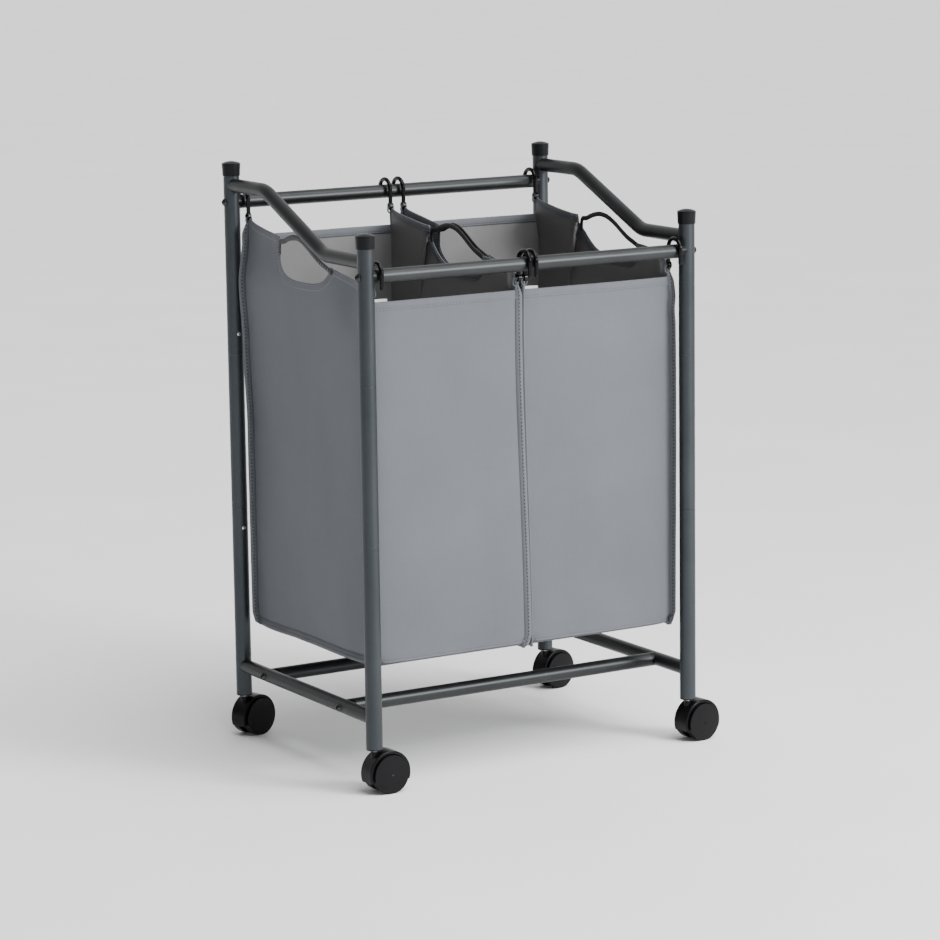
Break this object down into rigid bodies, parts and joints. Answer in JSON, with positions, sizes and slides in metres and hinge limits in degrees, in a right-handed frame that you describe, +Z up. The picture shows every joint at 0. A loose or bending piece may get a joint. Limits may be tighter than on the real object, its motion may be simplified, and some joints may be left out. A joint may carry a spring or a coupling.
{
  "type": "laundry sorter on wheels",
  "caption": "Rolling laundry sorter: a bolted tube frame with side push handles carries lift-off hanging fabric bags with carrying straps, on twin-wheel swivel casters.",
  "frame": {"origin": "on the floor, in the middle of the four posts", "axes": "+X to the right, +Y to the back, where the posts are taller, +Z up"},
  "size_m": [0.5641, 0.4162, 0.806],
  "materials": {
    "post_tube": "satin grey powder coat",
    "rail_tube": "satin dark grey powder coat",
    "steel": "zinc plated",
    "bolt": "black oxide",
    "black_plastic": "moulded, fine texture",
    "hook_plastic": "gloss moulded",
    "caster_plastic": "moulded nylon",
    "bag_cloth": "woven polyester with stitched hems",
    "strap_webbing": "woven webbing"
  },
  "bodies": {
    "frame": {"back_left_upper_post": "post_tube", "back_right_upper_post": "post_tube", "front_left_upper_post": "post_tube", "front_right_upper_post": "post_tube", "back_left_middle_post": "post_tube", "back_right_middle_post": "post_tube", "front_left_middle_post": "post_tube", "front_right_middle_post": "post_tube", "back_left_lower_post": "post_tube", "back_right_lower_post": "post_tube", "front_left_lower_post": "post_tube", "front_right_lower_post": "post_tube", "left_side_handle": "rail_tube", "right_side_handle": "rail_tube", "left_lower_side_rail": "rail_tube", "right_lower_side_rail": "rail_tube", "back_top_rail": "rail_tube", "front_top_rail": "rail_tube", "back_lower_rail": "rail_tube", "front_lower_rail": "rail_tube", "post_connectors": "steel", "connector_rivets": "steel", "rail_end_saddles": "black_plastic", "rail_end_nuts": "steel", "top_rail_bolts": "bolt", "lower_rail_bolts": "bolt", "post_caps": "black_plastic", "caster_sockets": "black_plastic", "caster_stems": "steel"},
    "front_left_caster": {"front_left_caster_hood": "caster_plastic", "front_left_caster_axle": "steel"},
    "front_left_near_wheel": {"front_left_near_wheel": "caster_plastic"},
    "front_left_far_wheel": {"front_left_far_wheel": "caster_plastic"},
    "front_right_caster": {"front_right_caster_hood": "caster_plastic", "front_right_caster_axle": "steel"},
    "front_right_near_wheel": {"front_right_near_wheel": "caster_plastic"},
    "front_right_far_wheel": {"front_right_far_wheel": "caster_plastic"},
    "back_right_caster": {"back_right_caster_hood": "caster_plastic", "back_right_caster_axle": "steel"},
    "back_right_near_wheel": {"back_right_near_wheel": "caster_plastic"},
    "back_right_far_wheel": {"back_right_far_wheel": "caster_plastic"},
    "back_left_caster": {"back_left_caster_hood": "caster_plastic", "back_left_caster_axle": "steel"},
    "back_left_near_wheel": {"back_left_near_wheel": "caster_plastic"},
    "back_left_far_wheel": {"back_left_far_wheel": "caster_plastic"},
    "left_bag": {"left_bag_front_panel": "bag_cloth", "left_bag_back_panel": "bag_cloth", "left_bag_left_panel": "bag_cloth", "left_bag_right_panel": "bag_cloth", "left_bag_bottom_panel": "bag_cloth", "left_bag_straps": "strap_webbing", "left_bag_hooks": "hook_plastic"},
    "right_bag": {"right_bag_front_panel": "bag_cloth", "right_bag_back_panel": "bag_cloth", "right_bag_left_panel": "bag_cloth", "right_bag_right_panel": "bag_cloth", "right_bag_bottom_panel": "bag_cloth", "right_bag_straps": "strap_webbing", "right_bag_hooks": "hook_plastic"}
  },
  "joints": [
    {"name": "front_left_swivel", "type": "hinge", "parent": "frame", "child": "front_left_caster", "pos_m": [-0.249, -0.185, 0.05], "axis": [0, 0, 1], "continuous": true},
    {"name": "front_left_near_wheel_spin", "type": "hinge", "parent": "front_left_caster", "child": "front_left_near_wheel", "pos_m": [-0.23251, -0.18442, 0.026], "axis": [-0.0349, 0.9994, 0], "continuous": true},
    {"name": "front_left_far_wheel_spin", "type": "hinge", "parent": "front_left_caster", "child": "front_left_far_wheel", "pos_m": [-0.23251, -0.18442, 0.026], "axis": [-0.0349, 0.9994, 0], "continuous": true},
    {"name": "front_right_swivel", "type": "hinge", "parent": "frame", "child": "front_right_caster", "pos_m": [0.249, -0.185, 0.05], "axis": [0, 0, 1], "continuous": true},
    {"name": "front_right_near_wheel_spin", "type": "hinge", "parent": "front_right_caster", "child": "front_right_near_wheel", "pos_m": [0.26539, -0.18313, 0.026], "axis": [-0.1132, 0.9936, 0], "continuous": true},
    {"name": "front_right_far_wheel_spin", "type": "hinge", "parent": "front_right_caster", "child": "front_right_far_wheel", "pos_m": [0.26539, -0.18313, 0.026], "axis": [-0.1132, 0.9936, 0], "continuous": true},
    {"name": "back_right_swivel", "type": "hinge", "parent": "frame", "child": "back_right_caster", "pos_m": [0.249, 0.185, 0.05], "axis": [0, 0, 1], "continuous": true},
    {"name": "back_right_near_wheel_spin", "type": "hinge", "parent": "back_right_caster", "child": "back_right_near_wheel", "pos_m": [0.26514, 0.18843, 0.026], "axis": [-0.2079, 0.9781, 0], "continuous": true},
    {"name": "back_right_far_wheel_spin", "type": "hinge", "parent": "back_right_caster", "child": "back_right_far_wheel", "pos_m": [0.26514, 0.18843, 0.026], "axis": [-0.2079, 0.9781, 0], "continuous": true},
    {"name": "back_left_swivel", "type": "hinge", "parent": "frame", "child": "back_left_caster", "pos_m": [-0.249, 0.185, 0.05], "axis": [0, 0, 1], "continuous": true},
    {"name": "back_left_near_wheel_spin", "type": "hinge", "parent": "back_left_caster", "child": "back_left_near_wheel", "pos_m": [-0.23318, 0.18969, 0.026], "axis": [-0.284, 0.9588, 0], "continuous": true},
    {"name": "back_left_far_wheel_spin", "type": "hinge", "parent": "back_left_caster", "child": "back_left_far_wheel", "pos_m": [-0.23318, 0.18969, 0.026], "axis": [-0.284, 0.9588, 0], "continuous": true},
    {"name": "left_bag_lift", "type": "slide", "parent": "frame", "child": "left_bag", "axis": [0, 0, 1], "range_m": [0, 0.66]},
    {"name": "right_bag_lift", "type": "slide", "parent": "frame", "child": "right_bag", "axis": [0, 0, 1], "range_m": [0, 0.66]}
  ]
}
